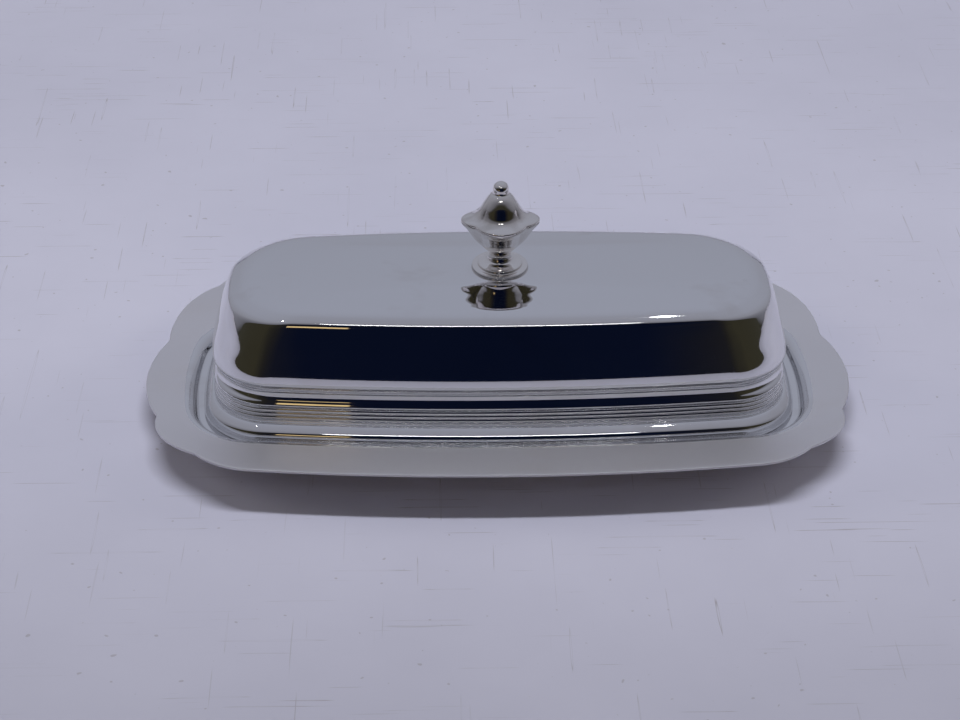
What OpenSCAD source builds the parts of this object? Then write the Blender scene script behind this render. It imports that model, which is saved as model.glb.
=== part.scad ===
// Butter dish: a lobed sheet-metal tray with a sunken well, a glass liner in the well, and a
// lift-off domed cover. The cover's four-lobed knob is held from below by a stud, washer and nut.
// Millimetres. +Z up, +X along the length. Origin: centre of the tray's flat underside.

/* [Tray] */
// Length over the two end lobes
tray_length = 198; // [196:1:204]
// Width over the two long sides
tray_width = 110.2; // [109:0.2:113]
// Height of the rim above the table, at the mouth of the well
rim_height = 8.5; // [8:0.25:9.5]
// How far the long sides rise above the rim's inner edge
side_rise = 4.7; // [1:0.1:6]
// Thickness of the sheet metal of tray and cover
sheet = 1; // [0.8:0.05:1.05]
// Length of the well's mouth
mouth_length = 173.2; // [173:0.2:174.4]
// Width of the well's mouth
mouth_width = 70; // [69.8:0.2:71.2]

/* [Cover] */
// Length of the cover at its widest level
cover_length = 158.8; // [158.2:0.1:158.9]
// Width of the cover at its widest level
cover_width = 59; // [58.4:0.1:59.1]
// Height of the top of the cover above the rim
cover_rise = 35.5; // [34.5:0.5:37]
// Free gap under the cover's edge
seat_gap = 0.1; // [0.05:0.05:0.3]
// Depth of the grooves of the reeded band
reed_depth = 0.2; // [0.05:0.01:0.25]

/* [Liner] */
// Length of the glass liner over its lip
liner_length = 151.2; // [149:0.2:152]
// Width of the glass liner over its lip
liner_width = 48; // [46.5:0.1:49]
// Height of the glass liner
liner_height = 12.4; // [10:0.2:15]

/* [Knob] */
// Height of the knob above the cover
knob_height = 25.8; // [25.2:0.1:26.7]
// Radius of the knob over its lobes
knob_radius = 10.7; // [10:0.1:11.5]
// Radius of the knob's foot
foot_radius = 7.6; // [7:0.1:8.4]

/* [Fastening] */
// Radius of the threaded stud
stud_radius = 1.6; // [1.4:0.1:1.8]
// How far the stud goes up into the knob
stud_depth = 6; // [4:0.5:7]
// Radius of the washer
washer_radius = 5; // [4.5:0.1:6]
// Thickness of the washer
washer_thick = 0.6; // [0.4:0.1:0.8]
// Width of the nut across its flats
nut_flats = 7; // [6:0.1:7.5]
// Height of the nut
nut_height = 2.4; // [2:0.1:2.6]

/* [Hidden] */
long_bow = 650;
half_mouth = [mouth_length / 2, mouth_width / 2];
half_cover = [cover_length / 2, cover_width / 2];
half_liner = [liner_length / 2, liner_width / 2];
well_depth = rim_height - sheet;
cover_top = rim_height + cover_rise;
ceiling = cover_top - sheet;
cover_stretch = cover_rise / 35.5;
liner_gap = 0.05;
knob_stretch = knob_height / 25.8;
hole_clearance = 0.4;
ball_radius = 2.15;

function unit(v) = v / norm(v);
function smooth01(t) = let(c = min(1, max(0, t))) c * c * (3 - 2 * c);

// Centre of the corner arc that touches a long side bowed with radius R1 and an end bowed with R2.
function corner_centre(a, b, r, R1, R2) =
    let(dx = a - R2, dy = R1 - b, span = sqrt(dx * dx + dy * dy))
    let(d1 = R1 - r, d2 = R2 - r)
    let(t = (d1 * d1 - d2 * d2 + span * span) / (2 * span))
    let(h = sqrt(max(0, d1 * d1 - t * t)))
    let(px = dx * t / span, py = b - R1 + dy * t / span)
    let(c1 = [px - dy * h / span, py + dx * h / span])
    let(c2 = [px + dy * h / span, py - dx * h / span])
    c1[0] + c1[1] > c2[0] + c2[1] ? c1 : c2;

// One quarter of a bowed, rounded rectangle, from the end's middle to the long side's middle.
// k = number of steps along [end, corner, long side].
function quarter(a, b, r, R2, k) =
    let(c = corner_centre(a, b, r, long_bow, R2))
    let(e = atan2(c[1], c[0] - a + R2))
    let(f = atan2(c[1] - b + long_bow, c[0]))
    concat(
        [for (i = [0:k[0] - 1]) let(t = e * i / k[0]) [a - R2 + R2 * cos(t), R2 * sin(t)]],
        [for (i = [0:k[1] - 1]) let(t = e + (f - e) * i / k[1]) c + r * [cos(t), sin(t)]],
        [for (i = [0:k[2]]) let(t = f + (90 - f) * i / k[2])
            [long_bow * cos(t), b - long_bow + long_bow * sin(t)]]
    );

// A quarter outline made into a closed ring, counter-clockwise seen from above.
function whole(q) =
    let(n = len(q) - 1)
    concat(
        [for (i = [0:n - 1]) q[i]],
        [for (i = [0:n - 1]) [-q[n - i][0], q[n - i][1]]],
        [for (i = [0:n - 1]) [-q[i][0], -q[i][1]]],
        [for (i = [0:n - 1]) [q[n - i][0], -q[n - i][1]]]
    );

function at_height(ring, z) = [for (p = ring) [p[0], p[1], z]];

// Closed skin through rings of equal point count, with a flat cap on the first and last ring.
module loft(rings) {
    n = len(rings[0]);
    m = len(rings);
    points = [for (ring = rings) each ring];
    sides = [
        for (j = [0:m - 2], i = [0:n - 1])
            let(u = (i + 1) % n)
            each [[j * n + i, (j + 1) * n + i, (j + 1) * n + u], [j * n + i, (j + 1) * n + u, j * n + u]]
    ];
    caps = [[for (i = [0:n - 1]) i], [for (i = [0:n - 1]) m * n - 1 - i]];
    polyhedron(points = points, faces = concat(sides, caps));
}

// ---------------------------------------------------------------- tray

// Well profile from the rim inwards: [offset from the mouth, height above the rim, corner radius]
well = [
    [1.4, 0, 20.6], [0.6, -0.05, 19.8], [0, -0.3, 19.2], [-0.6, -0.8, 18.6], [-1.1, -1.5, 18.2],
    [-1.45, -2.4, 17.8], [-1.75, -3.05, 17.5], [-2.4, -3.42, 17], [-3.4, -3.5, 16.5],
    [-11.4, -3.5, 13.6], [-12.4, -3.76, 13.2], [-13, -4.6, 13], [-13.5, -6.1, 12.8],
    [-14.1, 0.65 - well_depth, 12.5], [-15.2, 0.06 - well_depth, 12], [-16.4, -well_depth, 11.6],
    [-18.4, -well_depth, 10.6]
];
tray_steps = [5, 11, 3];

function well_normal(i) =
    let(p = well[max(0, i - 1)], q = well[min(len(well) - 1, i + 1)])
    let(t = unit([q[0] - p[0], q[1] - p[1]]))
    i == 0 || i == len(well) - 1 ? [0, -1] : [-t[1], t[0]];

function well_ring(i, down) =
    let(s = well[i], m = well_normal(i) * down)
    let(d = s[0] + m[0])
    at_height(
        whole(quarter(half_mouth[0] + d, half_mouth[1] + d, s[2] + m[0], 112 + s[0], tray_steps)),
        rim_height + s[1] + m[1]);

// Quarter of the lobed outline: end lobe, corner lobe, shoulder, then the long side.
function lobed_quarter() =
    let(k = [tray_length / 198, tray_width / 110.2])
    let(steps = concat(
        [for (i = [0:4]) let(t = 26.8 * i / 5) [56.2 + 42.8 * cos(t), 42.8 * sin(t)]],
        [for (i = [0:5]) let(t = -3.6 + 63.3 * i / 6) [68.95 + 25.5 * cos(t), 20.9 + 25.5 * sin(t)]],
        [for (i = [0:4]) let(t = 35.5 + 47.7 * i / 5) [65.66 + 19.8 * cos(t), 31.4 + 19.8 * sin(t)]],
        [for (i = [0:3]) let(t = 83.23 + 6.77 * i / 3) [577 * cos(t), 577 * sin(t) - 521.9]]))
    [for (p = steps) [p[0] * k[0], p[1] * k[1]]];

outline = whole(lobed_quarter());
rim_start = well_ring(0, 0);

function edge_rise(y) = side_rise * smooth01((abs(y) - 15) / 35);

// Ring on the rim: s = 0 at the mouth, 1 at the lobed outline.
function rim_ring(s, drop) = [
    for (i = [0:len(outline) - 1])
        let(p = rim_start[i], q = outline[i])
        [p[0] + (q[0] - p[0]) * s, p[1] + (q[1] - p[1]) * s,
         rim_height + edge_rise(q[1]) * pow(s, 1.35) - drop]
];

module tray() {
    last = len(well) - 1;
    under = [for (i = [0:last]) well_ring(last - i, sheet)];
    under_rim = [for (s = [0.25, 0.5, 0.75, 0.98]) rim_ring(s, sheet)];
    over_rim = [for (s = [0.98, 0.75, 0.5, 0.25]) rim_ring(s, 0)];
    over = [for (i = [0:last]) well_ring(i, 0)];
    color([0.80, 0.79, 0.77])
        loft(concat(under, under_rim, [rim_ring(1, sheet / 2)], over_rim, over));
}

// ---------------------------------------------------------------- cover

// Outer profile from the edge upwards:
// [offset along X, offset along Y, height above the rim, corner radius, bow radius of the ends]
flange = [
    [2.9, 2.75, -3.4, 19.5, 120], [3.3, 3.1, -2.6, 19.6, 120], [3, 2.85, -1.6, 19.4, 120],
    [2.3, 2.35, -0.1, 18.6, 118], [1.35, 1.15, 1.2, 17.6, 115], [0.5, 0.15, 1.9, 16.7, 112],
    [0.15, -0.2, 1.95, 16.5, 112], [0.05, -0.3, 2.6, 16.5, 110]
];
bead = [
    [-0.4, -0.7, 6.7, 16.8, 110], [-0.15, -0.45, 7.5, 17, 110], [-0.45, -0.75, 8.2, 17, 110],
    [-0.95, -1.2, 8.9, 17, 110], [-1.3, -1.5, 9.8, 17, 110], [-1.42, -1.6, 10.7, 17.1, 109],
    [-1.15, -1.3, 11.7, 17.4, 107], [-0.5, -0.6, 12.8, 17.7, 104], [-0.05, -0.1, 13.9, 18, 102],
    [0, 0, 14.6, 18, 100], [-0.15, -0.12, 15.5, 18, 99], [-0.5, -0.42, 17, 18, 96],
    [-1.5, -1.3, 20.5, 18.2, 90], [-2.8, -2.4, 25, 18.4, 82], [-4.1, -3.35, 28.6, 18.6, 74],
    [-4.9, -3.9, 30.4, 18.8, 68], [-5.6, -4.3, 31.2, 18.9, 65], [-6.4, -4.75, 31.75, 19, 62],
    [-7.4, -5.4, 32.35, 19, 59], [-8.5, -6.2, 32.95, 19, 55], [-9.8, -7.2, 33.4, 18.8, 51],
    [-11.5, -8.6, 33.75, 17.8, 47]
];
// Crown, given as half length and half width because it closes in on the middle.
crown = [
    [63, 18.5, 34.1, 15.6, 43], [57, 15.8, 34.5, 13.4, 38], [45, 13.2, 35, 11, 30],
    [27, 10.9, 35.4, 9.4, 20], [11, 9.4, 35.5, 8.4, 12]
];
// Inner profile from the edge upwards, in the same terms as the outer one.
lining = [
    [1.9, 1.8, -3.4, 18.5, 120], [1.6, 1.5, -1.9, 18.2, 118], [0.8, 0.8, -0.1, 17, 116],
    [-0.4, -0.8, 0.95, 15.8, 112], [-1, -1.35, 2.4, 15.6, 110], [-1.45, -1.75, 6.5, 15.7, 110],
    [-1.9, -2.15, 8.1, 16, 110], [-2.3, -2.5, 9.6, 16, 110], [-2.42, -2.6, 10.8, 16.1, 109],
    [-2.1, -2.25, 12, 16.4, 107], [-1.15, -1.25, 13.8, 17, 102], [-1, -1, 14.7, 17, 100],
    [-1.15, -1.12, 15.4, 17, 99], [-1.5, -1.4, 16.8, 17, 96], [-2.48, -2.28, 20.25, 17.2, 89],
    [-3.77, -3.37, 24.75, 17.4, 81], [-5.07, -4.32, 28.35, 17.6, 73], [-5.84, -4.84, 30.05, 17.8, 67],
    [-6.44, -5.14, 30.65, 17.9, 64], [-7.13, -5.48, 31.05, 18, 61], [-8.06, -6.06, 31.6, 18, 58],
    [-9.04, -6.74, 32.1, 18, 54], [-10.2, -7.57, 32.45, 17.8, 50], [-11.75, -8.84, 32.78, 16.8, 46]
];
cover_steps = [3, 6, 3];
reeds = 3;

function lift_height(h) = rim_height + (h > 0 ? h * cover_stretch : h);

function cover_ring(s) =
    at_height(
        whole(quarter(half_cover[0] + s[0], half_cover[1] + s[1], s[3], s[4], cover_steps)),
        lift_height(s[2]));

function lip_ring(s) = [for (p = cover_ring(s)) [p[0], p[1], p[2] + seat_gap - 0.1]];

function reed_row(i) =
    let(t = i / (2 * reeds), d = i % 2 == 0 ? -reed_depth : 0)
    [0.1 - 0.5 * t + d, -0.25 - 0.45 * t + d, 3 + 3.4 * t, 16.6, 110];

function crown_ring(s, down) =
    at_height(whole(quarter(s[0], s[1], s[3], s[4], cover_steps)), rim_height + s[2] * cover_stretch - down);

module cover() {
    inside_crown = [for (i = [len(crown) - 1:-1:0]) crown_ring(crown[i], sheet)];
    inside = [for (i = [len(lining) - 1:-1:1]) cover_ring(lining[i])];
    outside = [for (i = [1:len(flange) - 1]) cover_ring(flange[i])];
    band = [for (i = [0:2 * reeds]) cover_ring(reed_row(i))];
    dome = [for (s = bead) cover_ring(s)];
    outside_crown = [for (s = crown) crown_ring(s, 0)];
    color([0.83, 0.82, 0.80])
        difference() {
            loft(concat(inside_crown, inside, [lip_ring(lining[0])], [lip_ring(flange[0])], outside,
                        band, dome, outside_crown));
            translate([0, 0, ceiling - 1])
                cylinder(r = stud_radius + hole_clearance, h = sheet + 2, $fn = 48);
        }
}

// ---------------------------------------------------------------- glass liner

// [offset from the lip's outline, share of the height, corner radius] from the outside foot over
// the lip and down to the inner floor
liner_profile = [
    [-5.4, 0, 9.6], [-4.5, 0.02, 10.4], [-4, 0.08, 10.8], [-3.5, 0.28, 11.2], [-2.3, 0.62, 12.2],
    [-0.8, 0.84, 13.4], [-0.1, 0.93, 14], [-0.25, 0.985, 13.9], [-1, 1, 13.2], [-1.8, 0.99, 12.4],
    [-2.9, 0.93, 11.4], [-4.4, 0.78, 10], [-5.7, 0.52, 8.8], [-6.8, 0.32, 7.8], [-8.4, 0.255, 6.6],
    [-11, 0.24, 5]
];

module glass_liner() {
    color([0.80, 0.88, 0.86, 0.6])
        loft([
            for (s = liner_profile)
                at_height(
                    whole(quarter(half_liner[0] + s[0], half_liner[1] + s[0], s[2], 92, [3, 5, 3])),
                    sheet + liner_gap + s[1] * liner_height)
        ]);
}

// ---------------------------------------------------------------- knob

// Bowl and roof of the knob: [radius, height above the cover, share of the four-lobed shape]
bowl = [
    [3, 3.3, 0], [2.95, 4, 0], [3.1, 4.7, 0], [3.6, 5.3, 0.1], [4.4, 6, 0.2], [5.5, 6.95, 0.5],
    [6.9, 8.3, 0.8], [8.2, 10.2, 1], [9.4, 12.1, 1], [10.35, 13.25, 1], [10.65, 13.7, 1],
    [10.7, 14.3, 1], [10.4, 14.7, 1], [9.6, 14.95, 1], [8.4, 15.3, 0.95], [7.3, 15.8, 0.8],
    [6.4, 16.6, 0.6], [5.7, 17.6, 0.45], [5, 18.8, 0.3], [4.3, 19.95, 0.2], [3.4, 21.3, 0.1],
    [2.75, 22.05, 0], [2.2, 22.55, 0], [1.95, 23.1, 0]
];

// Four lobes: a long narrow ellipse along X and a rounder one across it, the larger radius counts.
function lobed(t) =
    max(1 / norm([cos(t), sin(t) / 0.551]), 1 / norm([cos(t) / 0.729, sin(t) / 0.8645]));

function bowl_ring(s) = [
    for (i = [0:47])
        let(t = i * 7.5)
        let(r = s[0] * knob_radius / 10.7 * (1 - s[2] + s[2] * lobed(t)))
        [r * cos(t), r * sin(t), cover_top + s[1] * knob_stretch]
];

module foot_outline() {
    k = knob_stretch;
    polygon([
        [0, 0], [foot_radius, 0], [foot_radius, 0.45 * k], [6.1, 0.55 * k], [6, 1.2 * k],
        [5.2, 1.4 * k], [4.2, 1.6 * k], [3.4, 2 * k], [3.1, 2.35 * k], [3.25, 2.6 * k],
        [3, 3 * k], [2.95, 3.8 * k], [0, 3.8 * k]
    ]);
}

module finial() {
    color([0.82, 0.80, 0.76])
        difference() {
            union() {
                translate([0, 0, cover_top])
                    rotate_extrude($fn = 64)
                        foot_outline();
                loft([for (s = bowl) bowl_ring(s)]);
                translate([0, 0, cover_top + 25.8 * knob_stretch - ball_radius])
                    sphere(r = ball_radius, $fn = 48);
            }
            translate([0, 0, cover_top - 1])
                cylinder(r = stud_radius, h = stud_depth + 1, $fn = 48);
        }
}

// ---------------------------------------------------------------- fastening

module finial_stud() {
    low = ceiling - washer_thick - nut_height - 1;
    color([0.62, 0.60, 0.56])
        translate([0, 0, low])
            cylinder(r = stud_radius, h = cover_top + stud_depth - low, $fn = 48);
}

module finial_washer() {
    color([0.70, 0.68, 0.64])
        translate([0, 0, ceiling - washer_thick])
            difference() {
                cylinder(r = washer_radius, h = washer_thick, $fn = 64);
                translate([0, 0, -1])
                    cylinder(r = stud_radius + 0.2, h = washer_thick + 2, $fn = 48);
            }
}

module finial_nut() {
    color([0.72, 0.66, 0.50])
        translate([0, 0, ceiling - washer_thick - nut_height])
            difference() {
                cylinder(r = nut_flats / (2 * cos(30)), h = nut_height, $fn = 6);
                translate([0, 0, -1])
                    cylinder(r = stud_radius, h = nut_height + 2, $fn = 48);
            }
}

tray();
glass_liner();
cover();
finial();
finial_stud();
finial_washer();
finial_nut();
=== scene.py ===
"""Looks for the butter dish: smooth silver-plated shells, a glass liner and a small lobed knob."""
import math

import bpy
import numpy as np
from mathutils import Matrix, Vector


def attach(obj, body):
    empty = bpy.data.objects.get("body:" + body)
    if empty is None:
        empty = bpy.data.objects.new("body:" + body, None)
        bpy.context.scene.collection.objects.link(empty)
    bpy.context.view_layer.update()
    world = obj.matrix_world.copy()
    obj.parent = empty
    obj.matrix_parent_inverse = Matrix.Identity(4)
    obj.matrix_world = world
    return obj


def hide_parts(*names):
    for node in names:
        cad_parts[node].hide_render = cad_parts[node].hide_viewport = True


MM = 0.001
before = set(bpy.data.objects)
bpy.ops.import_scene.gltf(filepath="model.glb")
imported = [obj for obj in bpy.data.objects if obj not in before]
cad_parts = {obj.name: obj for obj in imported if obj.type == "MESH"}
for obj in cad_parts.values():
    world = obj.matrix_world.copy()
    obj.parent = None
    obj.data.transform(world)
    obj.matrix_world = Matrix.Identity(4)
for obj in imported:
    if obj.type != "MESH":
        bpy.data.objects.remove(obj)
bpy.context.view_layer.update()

# ---------------------------------------------------------------- sizes shared with the CAD (mm)

SHEET = 1.0
RIM_Z = 8.5
LONG_BOW = 650.0
HALF_MOUTH = (86.6, 35.0)
HALF_COVER = (79.4, 29.5)
HALF_LINER = (75.6, 24.0)
SIDE_RISE = 4.7
MOUTH_END_BOW = 112.0
LINER_END_BOW = 92.0
STUD_HOLE_R = 2.0
LINER_GAP = 0.05
COVER_TOP = RIM_Z + 35.5

# Profile of the well: offset from the mouth, height above the rim, corner radius
WELL = [
    (1.4, 0, 20.6), (0.6, -0.05, 19.8), (0, -0.3, 19.2), (-0.6, -0.8, 18.6), (-1.1, -1.5, 18.2),
    (-1.45, -2.4, 17.8), (-1.75, -3.05, 17.5), (-2.4, -3.42, 17), (-3.4, -3.5, 16.5),
    (-11.4, -3.5, 13.6), (-12.4, -3.76, 13.2), (-13, -4.6, 13), (-13.5, -6.1, 12.8),
    (-14.1, -6.85, 12.5), (-15.2, -7.44, 12), (-16.4, -7.5, 11.6), (-18.4, -7.5, 10.6),
]
# Outside of the cover: offsets along X and Y, height above the rim, corner radius, end bow
FLANGE = [
    (2.9, 2.75, -3.4, 19.5, 120), (3.3, 3.1, -2.6, 19.6, 120), (3, 2.85, -1.6, 19.4, 120),
    (2.3, 2.35, -0.1, 18.6, 118), (1.35, 1.15, 1.2, 17.6, 115), (0.5, 0.15, 1.9, 16.7, 112),
    (0.15, -0.2, 1.95, 16.5, 112), (0.05, -0.3, 2.6, 16.5, 110),
]
BEAD = [
    (-0.4, -0.7, 6.7, 16.8, 110), (-0.15, -0.45, 7.5, 17, 110), (-0.45, -0.75, 8.2, 17, 110),
    (-0.95, -1.2, 8.9, 17, 110), (-1.3, -1.5, 9.8, 17, 110), (-1.42, -1.6, 10.7, 17.1, 109),
    (-1.15, -1.3, 11.7, 17.4, 107), (-0.5, -0.6, 12.8, 17.7, 104), (-0.05, -0.1, 13.9, 18, 102),
    (0, 0, 14.6, 18, 100), (-0.15, -0.12, 15.5, 18, 99), (-0.5, -0.42, 17, 18, 96),
    (-1.5, -1.3, 20.5, 18.2, 90), (-2.8, -2.4, 25, 18.4, 82), (-4.1, -3.35, 28.6, 18.6, 74),
    (-4.9, -3.9, 30.4, 18.8, 68), (-5.6, -4.3, 31.2, 18.9, 65), (-6.4, -4.75, 31.75, 19, 62),
    (-7.4, -5.4, 32.35, 19, 59), (-8.5, -6.2, 32.95, 19, 55), (-9.8, -7.2, 33.4, 18.8, 51),
    (-11.5, -8.6, 33.75, 17.8, 47),
]
# Crown of the cover, as half length and half width
CROWN = [
    (63, 18.5, 34.1, 15.6, 43), (57, 15.8, 34.5, 13.4, 38), (45, 13.2, 35, 11, 30),
    (27, 10.9, 35.4, 9.4, 20), (11, 9.4, 35.5, 8.4, 12),
]
# Inside of the cover
LINING = [
    (1.9, 1.8, -3.4, 18.5, 120), (1.6, 1.5, -1.9, 18.2, 118), (0.8, 0.8, -0.1, 17, 116),
    (-0.4, -0.8, 0.95, 15.8, 112), (-1, -1.35, 2.4, 15.6, 110), (-1.45, -1.75, 6.5, 15.7, 110),
    (-1.9, -2.15, 8.1, 16, 110), (-2.3, -2.5, 9.6, 16, 110), (-2.42, -2.6, 10.8, 16.1, 109),
    (-2.1, -2.25, 12, 16.4, 107), (-1.15, -1.25, 13.8, 17, 102), (-1, -1, 14.7, 17, 100),
    (-1.15, -1.12, 15.4, 17, 99), (-1.5, -1.4, 16.8, 17, 96), (-2.48, -2.28, 20.25, 17.2, 89),
    (-3.77, -3.37, 24.75, 17.4, 81), (-5.07, -4.32, 28.35, 17.6, 73), (-5.84, -4.84, 30.05, 17.8, 67),
    (-6.44, -5.14, 30.65, 17.9, 64), (-7.13, -5.48, 31.05, 18, 61), (-8.06, -6.06, 31.6, 18, 58),
    (-9.04, -6.74, 32.1, 18, 54), (-10.2, -7.57, 32.45, 17.8, 50), (-11.75, -8.84, 32.78, 16.8, 46),
]
REEDS = 3
REED_DEPTH = 0.2
ROWS_PER_REED = 12
# Glass liner: offset from the lip's outline, share of the height, corner radius
LINER = [
    (-5.4, 0, 9.6), (-4.5, 0.02, 10.4), (-4, 0.08, 10.8), (-3.5, 0.28, 11.2), (-2.3, 0.62, 12.2),
    (-0.8, 0.84, 13.4), (-0.1, 0.93, 14), (-0.25, 0.985, 13.9), (-1, 1, 13.2), (-1.8, 0.99, 12.4),
    (-2.9, 0.93, 11.4), (-4.4, 0.78, 10), (-5.7, 0.52, 8.8), (-6.8, 0.32, 7.8), (-8.4, 0.255, 6.6),
    (-11, 0.24, 5),
]
LINER_H = 12.4
# Knob: radius, height above the cover, share of the four-lobed shape
FOOT = [
    (7.55, 0.02, 0), (7.6, 0.1, 0), (7.6, 0.33, 0), (7.45, 0.45, 0), (6.35, 0.5, 0), (6.08, 0.6, 0),
    (6, 0.8, 0), (6, 1.1, 0), (5.85, 1.28, 0), (5.2, 1.4, 0), (4.2, 1.6, 0), (3.4, 2, 0),
    (3.15, 2.3, 0), (3.22, 2.5, 0), (3.24, 2.65, 0), (3.15, 2.85, 0),
]
BOWL = [
    (3, 3.3, 0), (2.95, 4, 0), (3.1, 4.7, 0), (3.6, 5.3, 0.1), (4.4, 6, 0.2), (5.5, 6.95, 0.5),
    (6.9, 8.3, 0.8), (8.2, 10.2, 1), (9.4, 12.1, 1), (10.35, 13.25, 1), (10.62, 13.65, 1),
    (10.7, 14.1, 1), (10.62, 14.45, 1), (10.3, 14.7, 1), (9.6, 14.95, 1), (8.4, 15.3, 0.95),
    (7.3, 15.8, 0.8), (6.4, 16.6, 0.6), (5.7, 17.6, 0.45), (5, 18.8, 0.3), (4.3, 19.95, 0.2),
    (3.4, 21.3, 0.1), (2.75, 22.05, 0), (2.25, 22.5, 0), (2.1, 22.9, 0),
]
BALL_R = 2.15
BALL_Z = 23.65

# ---------------------------------------------------------------- outlines and lofts


def corner_centre(a, b, r, bow, end_bow):
    """Centre of the corner arc that touches a bowed long side and a bowed end."""
    dx, dy = a - end_bow, bow - b
    span = math.hypot(dx, dy)
    d1, d2 = bow - r, end_bow - r
    t = (d1 * d1 - d2 * d2 + span * span) / (2 * span)
    h = math.sqrt(max(0.0, d1 * d1 - t * t))
    px, py = dx * t / span, b - bow + dy * t / span
    one = (px - dy * h / span, py + dx * h / span)
    two = (px + dy * h / span, py - dx * h / span)
    return one if sum(one) > sum(two) else two


def quarter(a, b, r, end_bow, steps, bow=LONG_BOW):
    """One quarter of a bowed, rounded rectangle, from the end's middle to the side's middle."""
    cx, cy = corner_centre(a, b, r, bow, end_bow)
    e = math.atan2(cy, cx - a + end_bow)
    f = math.atan2(cy - b + bow, cx)
    t = np.linspace(0, e, steps[0], endpoint=False)
    end = np.column_stack([a - end_bow + end_bow * np.cos(t), end_bow * np.sin(t)])
    t = np.linspace(e, f, steps[1], endpoint=False)
    corner = np.column_stack([cx + r * np.cos(t), cy + r * np.sin(t)])
    t = np.linspace(f, math.pi / 2, steps[2] + 1)
    side = np.column_stack([bow * np.cos(t), b - bow + bow * np.sin(t)])
    return np.concatenate([end, corner, side])


def whole(q):
    """A quarter outline made into a closed counter-clockwise ring."""
    return np.concatenate([q[:-1], (q * [-1, 1])[:0:-1], (q * [-1, -1])[:-1], (q * [1, -1])[:0:-1]])


def smooth(rows, per):
    """Centripetal Catmull-Rom curve through the rows of a profile, per points for each step."""
    p = np.array(rows, float)
    p = np.vstack([2 * p[0] - p[1], p, 2 * p[-1] - p[-2]])
    out = []
    for i in range(1, len(p) - 2):
        g = p[i - 1 : i + 3]
        step = np.sqrt(np.maximum(np.linalg.norm(np.diff(g[:, :3], axis=0), axis=1), 1e-6))
        k = np.concatenate([[0], np.cumsum(step)])
        for t in np.linspace(k[1], k[2], per, endpoint=False):
            a1 = ((k[1] - t) * g[0] + (t - k[0]) * g[1]) / (k[1] - k[0])
            a2 = ((k[2] - t) * g[1] + (t - k[1]) * g[2]) / (k[2] - k[1])
            a3 = ((k[3] - t) * g[2] + (t - k[2]) * g[3]) / (k[3] - k[2])
            b1 = ((k[2] - t) * a1 + (t - k[0]) * a2) / (k[2] - k[0])
            b2 = ((k[3] - t) * a2 + (t - k[1]) * a3) / (k[3] - k[1])
            out.append(((k[2] - t) * b1 + (t - k[1]) * b2) / (k[2] - k[1]))
    out.append(p[-2])
    return np.array(out)


def at_height(ring, z):
    return np.column_stack([ring, np.full(len(ring), float(z))])


def mesh_object(name, verts, faces, materials, slots=None):
    me = bpy.data.meshes.new(name)
    me.from_pydata([tuple(v) for v in np.asarray(verts) * MM], [], faces)
    for m in materials:
        me.materials.append(m)
    me.polygons.foreach_set("use_smooth", [True] * len(me.polygons))
    if slots is not None:
        me.polygons.foreach_set("material_index", slots)
    me.validate()
    me.update()
    o = bpy.data.objects.new(name, me)
    bpy.context.scene.collection.objects.link(o)
    return o


def loft(name, rings, materials, closed=False, slots=None):
    """Skin through rings of equal count: closed joins the last ring to the first, else both are capped."""
    n, m = len(rings[0]), len(rings)
    verts = list(np.concatenate(rings))
    faces = []
    for j in range(m if closed else m - 1):
        a, b = j * n, (j + 1) % m * n
        for i in range(n):
            u = (i + 1) % n
            faces.append((a + i, a + u, b + u, b + i))
    marks = None if slots is None else [s for s in slots[: m if closed else m - 1] for _ in range(n)]
    if not closed:
        for ring, start, turn in ((rings[0], 0, -1), (rings[-1], (m - 1) * n, 1)):
            verts.append(ring.mean(axis=0))
            mid = len(verts) - 1
            for i in range(n):
                faces.append((start + i, start + (i + 1) % n, mid)[::turn])
            if marks is not None:
                marks += [slots[0] if turn < 0 else slots[-1]] * n
    return mesh_object(name, verts, faces, materials, marks)


# ---------------------------------------------------------------- materials

# Fine scratches: how tightly the noise is squeezed along each axis, and how it is turned
SCRATCHES = (
    ((60, 900, 700), (0.1, 0.2, 0.35)), ((800, 70, 600), (0.3, 0, -0.3)), ((500, 90, 900), (0, 0.4, 0.9)),
)
TABLE_SCRATCHES = (
    ((18, 900, 1), (0, 0, 0.4)), ((900, 22, 1), (0, 0, 0.3)), ((26, 1100, 1), (0, 0, -0.7)),
)


def new_material(name):
    m = bpy.data.materials.new(name)
    m.use_nodes = True
    t = m.node_tree
    return m, t, t.nodes["Principled BSDF"]


def node(tree, kind, **values):
    n = tree.nodes.new(kind)
    for key, value in values.items():
        if key in n.inputs:
            n.inputs[key].default_value = value
        else:
            setattr(n, key, value)
    return n


def ramp(tree, source, stops):
    r = tree.nodes.new("ShaderNodeValToRGB")
    e = r.color_ramp.elements
    while len(e) < len(stops):
        e.new(0.5)
    for k, (place, colour) in zip(e, stops):
        k.position = place
        k.color = (*colour, 1) if len(colour) == 3 else colour
    tree.links.new(source, r.inputs[0])
    return r.outputs[0]


def grey(v):
    return (v, v, v)


def scaled_coords(tree, scale, turn=(0, 0, 0)):
    c = tree.nodes.new("ShaderNodeTexCoord")
    m = tree.nodes.new("ShaderNodeMapping")
    m.inputs["Scale"].default_value = scale
    m.inputs["Rotation"].default_value = turn
    tree.links.new(c.outputs["Object"], m.inputs["Vector"])
    return m.outputs["Vector"]


def noise(tree, coords, scale, detail=4.0, rough=0.5):
    n = node(tree, "ShaderNodeTexNoise", Scale=scale, Detail=detail, Roughness=rough)
    tree.links.new(coords, n.inputs["Vector"])
    return n.outputs["Fac"]


def math_node(tree, kind, a, b):
    n = tree.nodes.new("ShaderNodeMath")
    n.operation = kind
    for i, v in enumerate((a, b)):
        if isinstance(v, (int, float)):
            n.inputs[i].default_value = v
        else:
            tree.links.new(v, n.inputs[i])
    return n.outputs[0]


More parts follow.
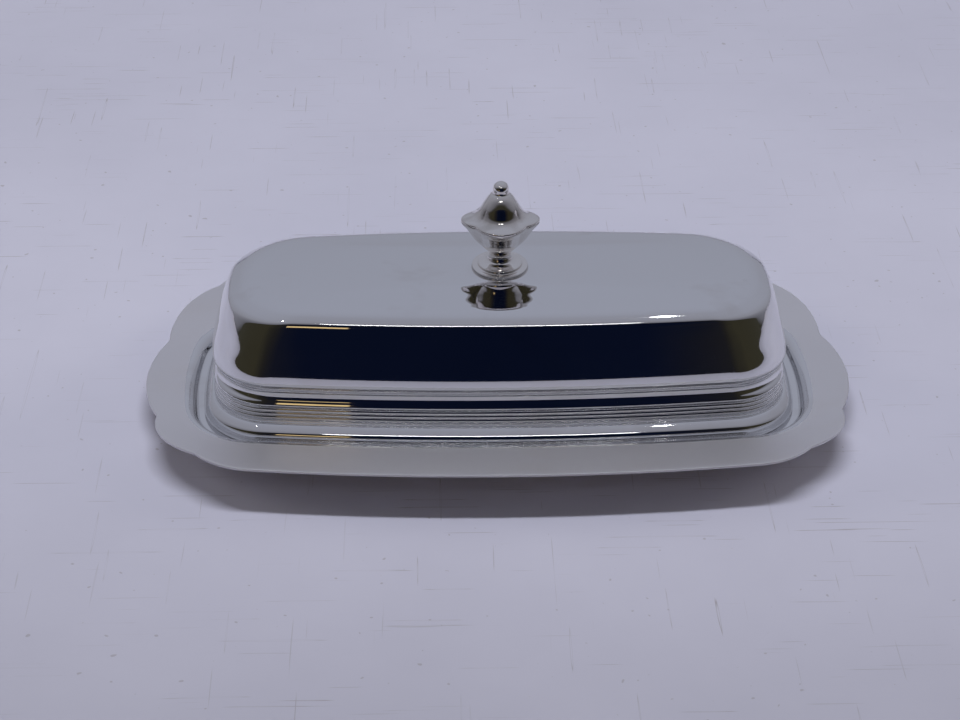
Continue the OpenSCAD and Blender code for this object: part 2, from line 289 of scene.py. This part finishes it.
def blend_colours(tree, factor, a, b, mode="MIX"):
    """Colour mix; each of factor, a and b is a value or a socket."""
    n = node(tree, "ShaderNodeMix", data_type="RGBA", blend_type=mode)
    for key, v in (("Factor", factor), ("A", a), ("B", b)):
        if isinstance(v, (int, float)):
            n.inputs[key].default_value = v
        elif isinstance(v, tuple):
            n.inputs[key].default_value = (*v, 1)
        else:
            tree.links.new(v, n.inputs[key])
    return n.outputs["Result"]


def bump(tree, shader, height, strength, distance):
    b = node(tree, "ShaderNodeBump", Strength=strength, Distance=distance)
    tree.links.new(height, b.inputs["Height"])
    tree.links.new(b.outputs["Normal"], shader.inputs["Normal"])


def axes(tree, kind):
    """The X, Y and Z of one kind of texture coordinate."""
    c = tree.nodes.new("ShaderNodeTexCoord")
    s = tree.nodes.new("ShaderNodeSeparateXYZ")
    tree.links.new(c.outputs[kind], s.inputs[0])
    return s.outputs


def scratch_lines(tree, sets):
    """Sparse hairlines: thin bands of a noise that is drawn out along one way for each set."""
    lines = None
    for scale, turn in sets:
        field = noise(tree, scaled_coords(tree, scale, turn), 1, 1, 0.5)
        line = ramp(tree, field, [(0.715, grey(0)), (0.74, grey(1)), (0.765, grey(0))])
        lines = line if lines is None else math_node(tree, "MAXIMUM", lines, line)
    return lines


def silver(name, base, dull, rough, rough_spread, ripple, tarnish=0.25, grain=0.0, metal=1.0):
    """Silver plate: faint tarnish clouds, fine scratches both ways and a slow hand-worn ripple."""
    m, t, p = new_material(name)
    p.inputs["Metallic"].default_value = metal
    clouds = noise(t, scaled_coords(t, (1, 1.6, 1.3)), 30, 4, 0.6)
    spots = noise(t, scaled_coords(t, (1, 1, 1), (0.3, 0.2, 0.9)), 160, 3, 0.5)
    cloud = ramp(t, clouds, [(0.56, grey(0)), (0.74, grey(tarnish))])
    spot = ramp(t, spots, [(0.70, grey(0)), (0.78, grey(0.35 * tarnish))])
    age = math_node(t, "ADD", cloud, spot)
    t.links.new(blend_colours(t, age, base, dull), p.inputs["Base Color"])
    wear = math_node(t, "MULTIPLY", scratch_lines(t, SCRATCHES), rough_spread)
    haze = math_node(t, "MULTIPLY", clouds, rough_spread * 0.8)
    rough_sum = math_node(t, "ADD", math_node(t, "ADD", wear, haze), rough)
    t.links.new(rough_sum, p.inputs["Roughness"])
    bump(t, p, noise(t, scaled_coords(t, (1, 1.5, 2)), 40, 1, 0.4), 1.0, ripple)
    if grain:
        p.inputs["Anisotropic"].default_value = grain
        along = t.nodes.new("ShaderNodeTangent")
        along.direction_type = "RADIAL"
        along.axis = "Z"
        t.links.new(along.outputs["Tangent"], p.inputs["Tangent"])
    return m


def glass_material():
    m, t, p = new_material("liner_glass")
    p.inputs["Base Color"].default_value = (0.93, 0.975, 0.96, 1)
    p.inputs["Transmission Weight"].default_value = 1.0
    p.inputs["IOR"].default_value = 1.5
    cloud = noise(t, scaled_coords(t, (1, 1, 1)), 90, 3, 0.5)
    t.links.new(ramp(t, cloud, [(0.4, grey(0.015)), (0.8, grey(0.08))]), p.inputs["Roughness"])
    bump(t, p, noise(t, scaled_coords(t, (1, 1, 1)), 60, 2, 0.4), 0.5, 0.00008)
    return m


def turned_metal(name, light, dark, rough):
    """Small plain hardware with fine turning marks."""
    m, t, p = new_material(name)
    p.inputs["Metallic"].default_value = 1.0
    marks = noise(t, scaled_coords(t, (300, 300, 3000)), 1, 3, 0.6)
    t.links.new(ramp(t, marks, [(0.3, dark), (0.7, light)]), p.inputs["Base Color"])
    t.links.new(ramp(t, marks, [(0.2, grey(rough * 0.7)), (0.8, grey(rough * 1.4))]), p.inputs["Roughness"])
    bump(t, p, marks, 0.4, 0.00003)
    return m


def table_material():
    """Pale worn table top with faint clouds, hairlines and a few specks, and painted shade that darkens it
    towards the front.
    """
    m, t, p = new_material("table_top")
    cloud = noise(t, scaled_coords(t, (1, 1, 1)), 7, 5, 0.6)
    plain = ramp(t, cloud, [(0.3, (0.50, 0.505, 0.62)), (0.7, (0.56, 0.565, 0.69))])
    patchy = noise(t, scaled_coords(t, (1, 1, 1), (0, 0, 0.5)), 14, 2, 0.5)
    patches = ramp(t, patchy, [(0.35, grey(0.12)), (0.60, grey(0.60))])
    hair = math_node(t, "MULTIPLY", scratch_lines(t, TABLE_SCRATCHES), patches)
    fine = noise(t, scaled_coords(t, (1, 1, 1)), 420, 1, 0.5)
    dots = ramp(t, fine, [(0.745, grey(0)), (0.775, grey(0.4))])
    marks = math_node(t, "MAXIMUM", hair, dots)
    # Painted shade: the table's colour is darkened towards the front, standing in for the light that falls
    # off there.
    depth = math_node(t, "ADD", math_node(t, "MULTIPLY", axes(t, "Object")["Y"], 2.0), 0.5)
    painted_front_shade = ramp(t, depth, [(0.18, grey(0.74)), (0.45, grey(1.0))])
    painted_shade_top = blend_colours(t, 1.0, plain, painted_front_shade, "MULTIPLY")
    t.links.new(blend_colours(t, marks, painted_shade_top, (0.20, 0.18, 0.18)), p.inputs["Base Color"])
    p.inputs["Roughness"].default_value = 0.62
    bump(t, p, noise(t, scaled_coords(t, (1, 1, 1)), 60, 4, 0.6), 0.25, 0.0004)
    return m


def glow(name, colour, strength):
    m = bpy.data.materials.new(name)
    m.use_nodes = True
    t = m.node_tree
    t.nodes.clear()
    e = t.nodes.new("ShaderNodeEmission")
    e.inputs["Color"].default_value = (*colour, 1)
    e.inputs["Strength"].default_value = strength
    o = t.nodes.new("ShaderNodeOutputMaterial")
    t.links.new(e.outputs[0], o.inputs["Surface"])
    return m


def room_card():
    """Glow of the dim room in front: olive at the sides and deep blue in the middle."""
    m = glow("room_card", (0.03, 0.03, 0.02), 1.0)
    t = m.node_tree
    soft = math_node(t, "MULTIPLY", noise(t, scaled_coords(t, (1, 1, 1)), 9, 2, 0.5), 0.10)
    place = math_node(t, "ADD", math_node(t, "ABSOLUTE", axes(t, "Object")["X"], 0), soft)
    shade = ramp(t, place, [
        (0.0, (0.002, 0.004, 0.014)), (0.13, (0.003, 0.005, 0.016)), (0.19, (0.016, 0.015, 0.014)),
        (0.26, (0.034, 0.031, 0.020)), (1.0, (0.040, 0.038, 0.028)),
    ])
    t.links.new(shade, t.nodes["Emission"].inputs["Color"])
    return m


BRIGHT = silver("silver_bright", (0.78, 0.78, 0.79), (0.50, 0.43, 0.37), 0.03, 0.02, 0.00001)
SATIN = silver("silver_satin", (0.64, 0.635, 0.675), (0.58, 0.53, 0.50), 0.32, 0.05, 0.00003, 0.15, 0.4, 0.74)
KNOB = silver("silver_knob", (0.78, 0.755, 0.73), (0.25, 0.20, 0.15), 0.05, 0.05, 0.00012, 0.8)
GLASS = glass_material()
STEEL = turned_metal("steel_thread", (0.66, 0.64, 0.61), (0.50, 0.48, 0.46), 0.3)
BRASS = turned_metal("brass_nut", (0.80, 0.66, 0.38), (0.62, 0.48, 0.24), 0.28)

# ---------------------------------------------------------------- tray

# Share of the rim's width before its rounded edge starts
FLAT_SHARE = 0.965


def well_rows():
    """The well's profile as smooth rows of offset, height and corner radius."""
    rows = np.array([(d, 0, z, r) for d, z, r in WELL], float)
    return smooth(rows, 6)[:, [0, 2, 3]]


def well_ring(row, normal, drop, steps):
    """Ring of the well at one row of its profile, moved along the profile's normal by drop."""
    offset, height, radius = row
    out = normal[0] * drop
    a, b = (half + offset + out for half in HALF_MOUTH)
    flat = whole(quarter(a, b, radius + out, MOUTH_END_BOW + offset, steps))
    return at_height(flat, RIM_Z + height + normal[1] * drop)


def lobed_quarter(n):
    """A quarter of the tray's outline: end lobe, corner lobe, shoulder and long side."""
    def arc(cx, cy, r, start, stop, count, last=False):
        t = np.radians(np.linspace(start, stop, count, endpoint=last))
        return np.column_stack([cx + r * np.cos(t), cy + r * np.sin(t)])

    return np.concatenate([
        arc(56.2, 0, 42.8, 0, 26.8, n[0]),
        arc(68.95, 20.9, 25.5, -3.6, 59.7, n[1]),
        arc(65.66, 31.4, 19.8, 35.5, 83.2, n[2]),
        arc(0, -521.9, 577, 83.23, 90, n[3] + 1, True),
    ])


def edge_rise(y):
    """How far the rim's outer edge sweeps up towards the long sides."""
    t = np.clip((np.abs(y) - 15) / 35, 0, 1)
    return SIDE_RISE * t * t * (3 - 2 * t)


def make_tray():
    steps = (14, 30, 14)
    outline = whole(lobed_quarter((14, 18, 12, 14)))
    rows = well_rows()
    slope = np.gradient(rows[:, :2], axis=0)
    slope /= np.linalg.norm(slope, axis=1)[:, None]
    normals = np.column_stack([-slope[:, 1], slope[:, 0]])
    normals[0] = normals[-1] = (0, -1)
    over = [well_ring(r, m, 0, steps) for r, m in zip(rows, normals)]
    under = [well_ring(r, m, SHEET, steps) for r, m in zip(rows, normals)][::-1]
    start = over[0][:, :2]

    def rim(s, drop):
        flat = start + (outline - start) * s
        z = RIM_Z + edge_rise(outline[:, 1]) * s ** 1.35 - drop
        return np.column_stack([flat, z])

    share = np.linspace(0, FLAT_SHARE, 16)[1:]
    edge = [
        rim(FLAT_SHARE + (1 - FLAT_SHARE) * math.sin(a), SHEET / 2 - SHEET / 2 * math.cos(a))
        for a in np.linspace(math.pi, 0, 9)[1:-1]
    ]
    rings = under + [rim(s, SHEET) for s in share] + edge + [rim(s, 0) for s in share[::-1]] + over
    satin = len(under) + 2 * len(share) + len(edge)
    marks = [1 if j < satin else 0 for j in range(len(rings))]
    o = loft("tray_shell", rings, [BRIGHT, SATIN], slots=marks)
    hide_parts("tray")
    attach(o, "tray")


# ---------------------------------------------------------------- cover


def cover_rows(rows):
    return [(HALF_COVER[0] + a, HALF_COVER[1] + b, z, r, e) for a, b, z, r, e in rows]


def cover_ring(row, steps=(10, 22, 14)):
    a, b, z, r, e = row
    return at_height(whole(quarter(a, b, r, e, steps)), RIM_Z + z)


def reed_rows():
    """Fine rounded reeds round the foot of the wall."""
    out = []
    count = REEDS * ROWS_PER_REED
    for i in range(count + 1):
        t = i / count
        d = -REED_DEPTH * (1 - abs(math.sin(math.pi * REEDS * t))) ** 1.5
        out.append((0.1 - 0.5 * t + d, -0.25 - 0.45 * t + d, 3 + 3.4 * t, 16.6, 110))
    return out


def hole_ring(z, count):
    t = np.linspace(0, 2 * math.pi, count, endpoint=False)
    return np.column_stack([STUD_HOLE_R * np.cos(t), STUD_HOLE_R * np.sin(t), np.full(count, z)])


def make_cover():
    crown = [tuple(r) for r in CROWN]
    low = smooth(cover_rows(FLANGE), 5)
    band = np.array(cover_rows(reed_rows()))
    high = smooth(np.vstack([np.array(cover_rows(BEAD)), np.array(crown)]), 5)
    inner_crown = [(a, b, z - SHEET, r, e) for a, b, z, r, e in crown]
    inside = smooth(np.vstack([np.array(cover_rows(LINING)), np.array(inner_crown)]), 4)
    rings = [cover_ring(r) for r in np.vstack([low, band, high])]
    count = len(rings[0])
    rings += [hole_ring(COVER_TOP, count), hole_ring(COVER_TOP - SHEET, count)]
    rings += [cover_ring(r) for r in inside[::-1]]
    o = loft("cover_shell", rings, [BRIGHT], closed=True)
    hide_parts("cover")
    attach(o, "cover")


# ---------------------------------------------------------------- liner, knob, fastening


def make_liner():
    rows = smooth([(a, 0, s * LINER_H, r) for a, s, r in LINER], 5)
    a, b = HALF_LINER
    rings = [
        at_height(whole(quarter(a + d, b + d, r, LINER_END_BOW, (10, 18, 14))), SHEET + LINER_GAP + z)
        for d, _, z, r in rows
    ]
    o = loft("liner_shell", rings, [GLASS])
    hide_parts("glass_liner")
    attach(o, "liner")


def lobed(t):
    """Outline of the knob: the larger of a long narrow ellipse and a rounder one across it."""
    c, s = np.cos(t), np.sin(t)
    return np.maximum(1 / np.hypot(c, s / 0.551), 1 / np.hypot(c / 0.729, s / 0.8645))


def make_knob():
    count = 128
    t = np.linspace(0, 2 * math.pi, count, endpoint=False)
    shape = lobed(t)
    rows = smooth([(r, 0, z, q) for r, z, q in FOOT + BOWL], 5)
    rows = [(r, z, min(1.0, max(0.0, q))) for r, _, z, q in rows]
    low = -math.acos(rows[-1][0] / BALL_R)
    for a in np.linspace(low + 0.15, math.pi / 2 - 0.06, 24):
        rows.append((BALL_R * math.cos(a), BALL_Z + BALL_R * math.sin(a), 0.0))
    rings = []
    for r, z, q in rows:
        k = r * (1 - q + q * shape)
        rings.append(np.column_stack([k * np.cos(t), k * np.sin(t), np.full(count, COVER_TOP + z)]))
    o = loft("knob", rings, [KNOB])
    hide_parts("finial")
    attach(o, "cover")


def finish_hardware():
    for name, material in (("finial_stud", STEEL), ("finial_washer", STEEL), ("finial_nut", BRASS)):
        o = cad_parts[name]
        for s in o.material_slots:
            s.material = material


# ---------------------------------------------------------------- stage, light and camera

TABLE_Z = -0.0001
UPRIGHT = (math.radians(90), 0, 0)
# Share of the room's light that reaches diffuse surfaces, and the tilt in degrees of the plane
# that divides its pale part from its dark one
FILL_SHARE = 0.31
ROOM_EDGE = 36.0
# Side lamps: name, X and power
SIDE_LAMPS = (("left", -1.9, 9.0), ("right", 1.9, 7.0))
# Lamps that show as a thin line and two spots in the cover: X of their ends, and their Y and Z
STRIP_ENDS = (-0.26, 0.285)
STRIP_Y, STRIP_Z = -0.93, 0.97
SPOT_ENDS = (-0.56, 0.306)
SPOT_Y, SPOT_Z = -0.50, 1.30
# Camera: lens and sensor in mm, angles in radians, offsets of the view axis from the middle of the
# rim's plane and distance along it in mm
CAMERA_LENS, CAMERA_SENSOR = 80.0, 36.0
CAMERA_LIFT, CAMERA_TURN, CAMERA_ROLL = (math.radians(a) for a in (33.0, 1.84, -0.44))
CAMERA_X, CAMERA_Y, CAMERA_AWAY = 5.23, -3.75, 603.0


def stage_plane(name, centre, size, turn, material, camera=True):
    me = bpy.data.meshes.new(name)
    w, h = size[0] / 2, size[1] / 2
    me.from_pydata([(-w, -h, 0), (w, -h, 0), (w, h, 0), (-w, h, 0)], [], [(0, 1, 2, 3)])
    me.materials.append(material)
    o = bpy.data.objects.new(name, me)
    bpy.context.scene.collection.objects.link(o)
    o.location = centre
    o.rotation_euler = turn
    if not camera:
        o.visible_camera = False
        o.visible_shadow = False
        o.visible_diffuse = False
        o.visible_transmission = False
    return o


def area(name, centre, aim, size, power, colour=(1, 1, 1)):
    d = bpy.data.lights.new(name, "AREA")
    d.shape = "RECTANGLE"
    d.size, d.size_y = size
    d.energy = power
    d.color = colour
    o = bpy.data.objects.new(name, d)
    o.location = centre
    way = Vector(aim) - Vector(centre)
    o.rotation_euler = way.to_track_quat("-Z", "Y").to_euler()
    bpy.context.scene.collection.objects.link(o)
    return o


def make_world():
    """A room that is pale behind the object and darker in front; it adds less to diffuse surfaces."""
    w = bpy.data.worlds.new("room")
    w.use_nodes = True
    t = w.node_tree
    back = t.nodes["Background"]
    way = axes(t, "Generated")
    tilt = math.radians(ROOM_EDGE)
    behind = math_node(t, "MULTIPLY", way["Y"], math.sin(tilt) / 2)
    above = math_node(t, "MULTIPLY", way["Z"], math.cos(tilt) / 2)
    level = math_node(t, "ADD", math_node(t, "ADD", behind, above), 0.5)
    t.links.new(ramp(t, level, [
        (0.0, (0.012, 0.011, 0.010)), (0.30, (0.030, 0.028, 0.020)), (0.48, (0.035, 0.033, 0.025)),
        (0.52, (0.14, 0.14, 0.165)), (0.66, (0.285, 0.29, 0.34)), (1.0, (0.36, 0.38, 0.46)),
    ]), back.inputs["Color"])
    path = t.nodes.new("ShaderNodeLightPath")
    fill = math_node(t, "MULTIPLY", path.outputs["Is Diffuse Ray"], FILL_SHARE - 1)
    t.links.new(math_node(t, "ADD", fill, 1.0), back.inputs["Strength"])
    bpy.context.scene.world = w


def make_stage():
    stage_plane("table", (0, 0, TABLE_Z), (6, 6), (0, 0, 0), table_material())
    stage_plane("front_card", (0, -0.18, 0.075), (3.0, 0.17), UPRIGHT, room_card(), camera=False)
    make_world()
    lamps = [area("key", (0.0, 0.05, 1.4), (0, 0, 0), (1.0, 0.10), 13.0, (0.955, 0.96, 1.0))]
    for name, x, power in SIDE_LAMPS:
        lamps.append(area(f"side_{name}", (x, 0.45, 0.85), (0, 0, 0), (0.9, 0.9), power, (1.0, 0.93, 0.82)))
    lamps.append(area("front_fill", (0, -1.2, 0.5), (0, 0, 0), (0.9, 0.5), 1.6, (1.0, 0.78, 0.4)))
    for lamp in lamps:
        lamp.visible_glossy = False
    middle, length = sum(STRIP_ENDS) / 2, STRIP_ENDS[1] - STRIP_ENDS[0]
    area("lamp_strip", (middle, STRIP_Y, STRIP_Z), (middle, 0, 0), (length, 0.022), 0.4)
    warm = glow("warm_glow", (0.85, 0.62, 0.30), 1.0)
    stage_plane("warm_card", (-0.082, -0.17, 0.082), (0.036, 0.022), UPRIGHT, warm, camera=False)
    for i, x in enumerate(SPOT_ENDS):
        area(f"lamp_end_{i}", (x, SPOT_Y, SPOT_Z), (x, SPOT_Y, 0), (0.025, 0.025), 0.12)


def make_camera():
    d = bpy.data.cameras.new("camera")
    d.lens = CAMERA_LENS
    d.sensor_width = CAMERA_SENSOR
    d.clip_start = 0.01
    o = bpy.data.objects.new("camera", d)
    bpy.context.scene.collection.objects.link(o)
    right = Vector((1, 0, 0))
    up = Vector((0, math.sin(CAMERA_LIFT), math.cos(CAMERA_LIFT)))
    into = Vector((0, math.cos(CAMERA_LIFT), -math.sin(CAMERA_LIFT)))
    place = -(right * CAMERA_X + up * CAMERA_Y + into * CAMERA_AWAY)
    roll_right = right * math.cos(CAMERA_ROLL) - up * math.sin(CAMERA_ROLL)
    roll_up = right * math.sin(CAMERA_ROLL) + up * math.cos(CAMERA_ROLL)
    basis = Matrix((roll_right, roll_up, -into)).transposed()
    turn = Matrix.Rotation(-CAMERA_TURN, 3, "Z")
    centre = (turn @ place + Vector((0, 0, RIM_Z))) * MM
    o.matrix_world = Matrix.Translation(centre) @ (turn @ basis).to_4x4()
    bpy.context.scene.camera = o


make_tray()
make_cover()
make_liner()
make_knob()
finish_hardware()
make_stage()
make_camera()
bpy.context.scene.view_settings.view_transform = "Standard"


def plain(box):
    return [[float(v) for v in corner] for corner in box]
